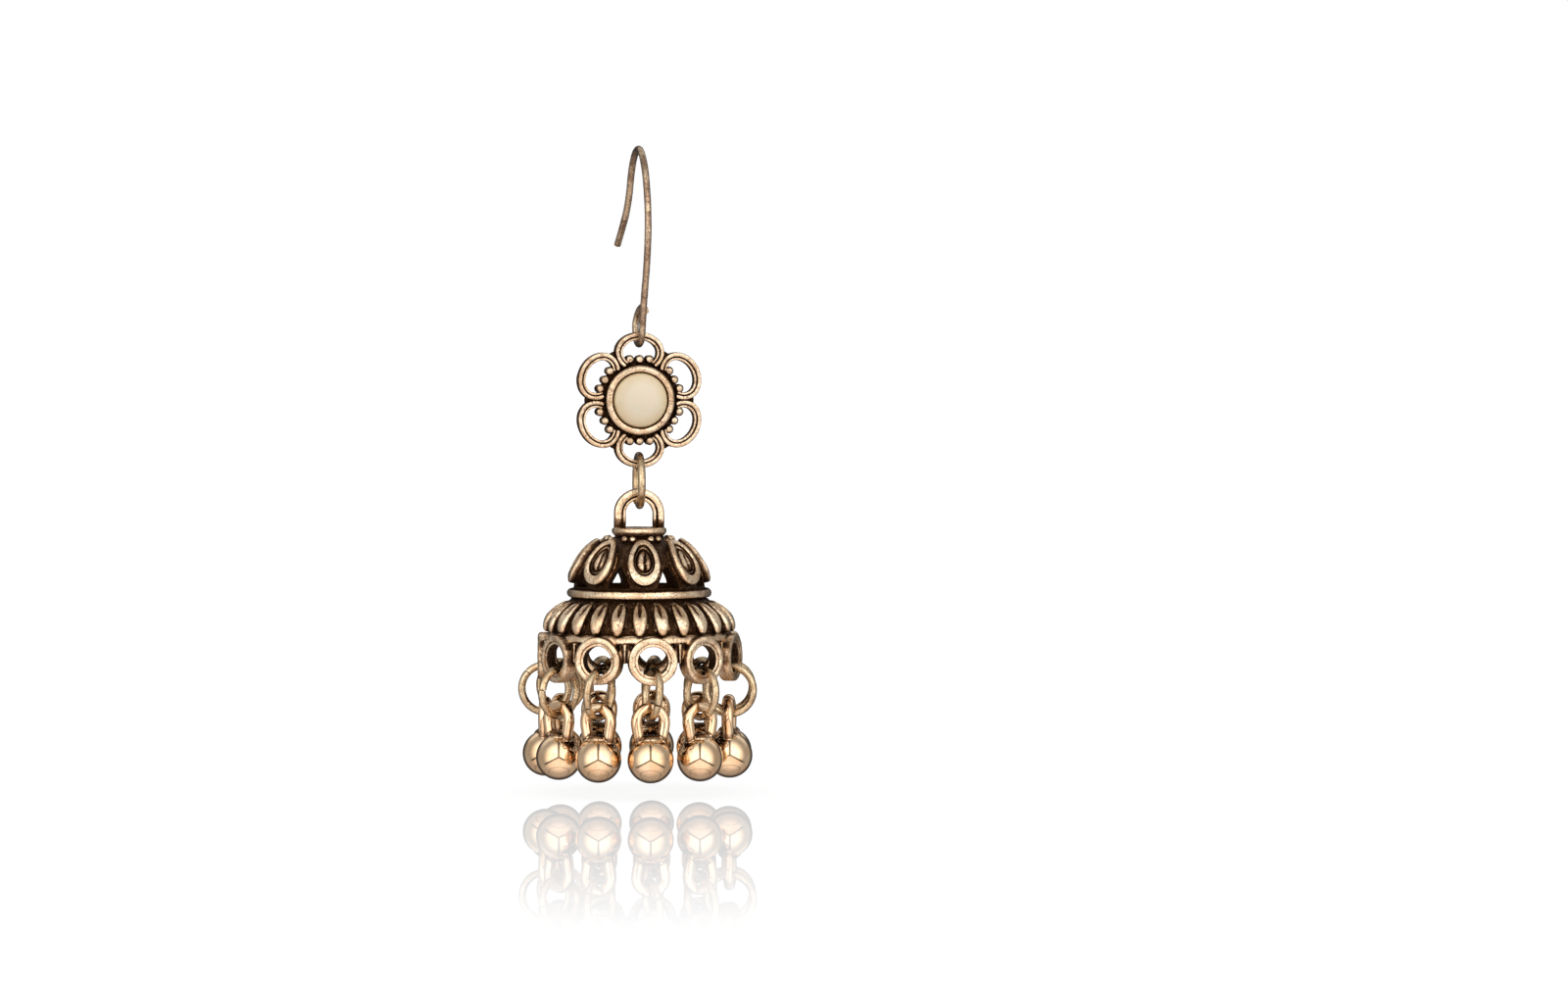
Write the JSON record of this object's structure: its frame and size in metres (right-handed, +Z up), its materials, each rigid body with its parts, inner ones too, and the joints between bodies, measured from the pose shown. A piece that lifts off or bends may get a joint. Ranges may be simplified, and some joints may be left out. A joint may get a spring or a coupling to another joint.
{
  "type": "chandelier earring",
  "caption": "Bell-shaped chandelier earring: a hooked ear wire, an openwork flower with a cream cabochon, and a pierced, ribbed bell fringed with ball drops.",
  "frame": {"origin": "underside of the ear wire's crest, where it sits in the ear", "axes": "+Z up, -Y the front of the flower, the wire passes through the ear along Y"},
  "size_m": [0.0245, 0.0244, 0.0643],
  "materials": {
    "antique_gold": "antiqued and burnished, dark in the recesses",
    "tarnished_wire": "satin with speckled tarnish",
    "cream_stone": "satin cabochon"
  },
  "bodies": {
    "ear_wire": {"ear_wire": "tarnished_wire"},
    "flower": {"flower_connector": "antique_gold", "flower_stone": "cream_stone"},
    "link": {"link_ring": "antique_gold"},
    "bell": {"bell": "antique_gold", "drop_ring_01": "antique_gold", "drop_ring_02": "antique_gold", "drop_ring_03": "antique_gold", "drop_ring_04": "antique_gold", "drop_ring_05": "antique_gold", "drop_ring_06": "antique_gold", "drop_ring_07": "antique_gold", "drop_ring_08": "antique_gold", "drop_ring_09": "antique_gold", "drop_ring_10": "antique_gold", "drop_ring_11": "antique_gold", "ball_drop_01": "antique_gold", "ball_drop_02": "antique_gold", "ball_drop_03": "antique_gold", "ball_drop_04": "antique_gold", "ball_drop_05": "antique_gold", "ball_drop_06": "antique_gold", "ball_drop_07": "antique_gold", "ball_drop_08": "antique_gold", "ball_drop_09": "antique_gold", "ball_drop_10": "antique_gold", "ball_drop_11": "antique_gold"}
  },
  "joints": [
    {"name": "flower_swing", "type": "hinge", "parent": "ear_wire", "child": "flower", "pos_m": [0, 0, -0.0176], "axis": [1, 0, 0], "range_deg": [-45, 45]},
    {"name": "link_sway", "type": "hinge", "parent": "flower", "child": "link", "pos_m": [0, 0, -0.03085], "axis": [0, 1, 0], "range_deg": [-35, 35]},
    {"name": "bell_swing", "type": "hinge", "parent": "link", "child": "bell", "pos_m": [0, 0, -0.0334], "axis": [0.9962, -0.0872, 0], "range_deg": [-45, 45]}
  ]
}
